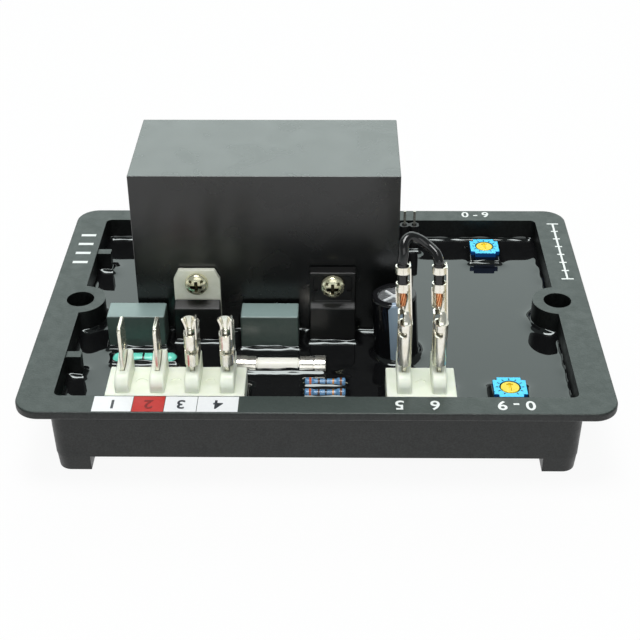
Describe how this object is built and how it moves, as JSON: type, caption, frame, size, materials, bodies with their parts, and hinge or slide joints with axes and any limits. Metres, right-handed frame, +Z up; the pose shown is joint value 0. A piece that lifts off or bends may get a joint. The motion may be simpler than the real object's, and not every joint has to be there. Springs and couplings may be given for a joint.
{
  "type": "automatic voltage regulator",
  "caption": "Potted voltage regulator: flanged black tray, solid heat sink block, power transistors, fuse, blade terminals with a jumper lead, and trimmers that a screwdriver turns.",
  "frame": {"origin": "on the plane of the tray's feet, below the middle of its rectangular flange", "axes": "+X along the tray's long side, +Y from the terminal housings towards the heat sink and the back, +Z up out of the tray"},
  "size_m": [0.13, 0.091, 0.0554],
  "materials": {
    "tray": "satin",
    "resin": "polished",
    "board": "matte",
    "anodised": "satin",
    "tinned_tab": "satin",
    "moulding": "satin",
    "tin": "satin",
    "zinc": "satin",
    "film_case": "satin",
    "turquoise": "gloss",
    "fuse_ceramic": "satin",
    "nickel": "satin",
    "can": "satin",
    "sleeve": "gloss",
    "resistor_blue": "gloss",
    "nylon": "satin",
    "terminal": "satin",
    "insulation": "gloss",
    "copper": "satin",
    "trimmer_blue": "satin",
    "rotor_yellow": "satin",
    "header": "satin"
  },
  "bodies": {
    "regulator": {"case_tray": "tray", "potting_resin": "resin", "circuit_board": "board", "heat_sink": "anodised", "left_transistor_tab": "tinned_tab", "left_transistor_body": "moulding", "left_transistor_lead_1": "tin", "left_transistor_lead_2": "tin", "left_transistor_lead_3": "tin", "left_transistor_screw": "zinc", "right_transistor_body": "moulding", "right_transistor_lead_1": "tin", "right_transistor_lead_2": "tin", "right_transistor_lead_3": "tin", "right_transistor_screw": "zinc", "left_film_capacitor": "film_case", "left_film_capacitor_lead_1": "tin", "left_film_capacitor_lead_2": "tin", "right_film_capacitor": "film_case", "right_film_capacitor_lead_1": "tin", "right_film_capacitor_lead_2": "tin", "power_resistor": "turquoise", "power_resistor_lead_1": "tin", "power_resistor_lead_2": "tin", "fuse_tube": "fuse_ceramic", "fuse_cap_left": "nickel", "fuse_cap_right": "nickel", "fuse_clip_left": "nickel", "fuse_clip_right": "nickel", "capacitor_can": "can", "capacitor_sleeve": "sleeve", "capacitor_can_lead_1": "tin", "capacitor_can_lead_2": "tin", "small_resistor_1": "resistor_blue", "small_resistor_2": "resistor_blue", "four_way_housing": "nylon", "two_way_housing": "nylon", "blade_tab_1": "terminal", "blade_tab_2": "terminal", "blade_tab_3": "terminal", "blade_tab_4": "terminal", "blade_tab_5": "terminal", "blade_tab_6": "terminal", "loose_receptacle_3": "terminal", "loose_receptacle_4": "terminal", "crimped_receptacle_5": "terminal", "crimped_receptacle_6": "terminal", "jumper_lead": "insulation", "jumper_strands_1": "copper", "jumper_strands_2": "copper", "back_trimmer": "trimmer_blue", "front_trimmer": "trimmer_blue", "link_header": "header", "link_pin_1": "tin", "link_pin_2": "tin"},
    "back_rotor": {"back_trimmer_rotor": "rotor_yellow"},
    "front_rotor": {"front_trimmer_rotor": "rotor_yellow"}
  },
  "joints": [
    {"name": "back_trimmer_turn", "type": "hinge", "parent": "regulator", "child": "back_rotor", "pos_m": [0.043, 0.0314, 0.0168], "axis": [0, 0, 1], "range_deg": [-120, 120]},
    {"name": "front_trimmer_turn", "type": "hinge", "parent": "regulator", "child": "front_rotor", "pos_m": [0.043, -0.0314, 0.0168], "axis": [0, 0, 1], "range_deg": [-120, 120]}
  ]
}
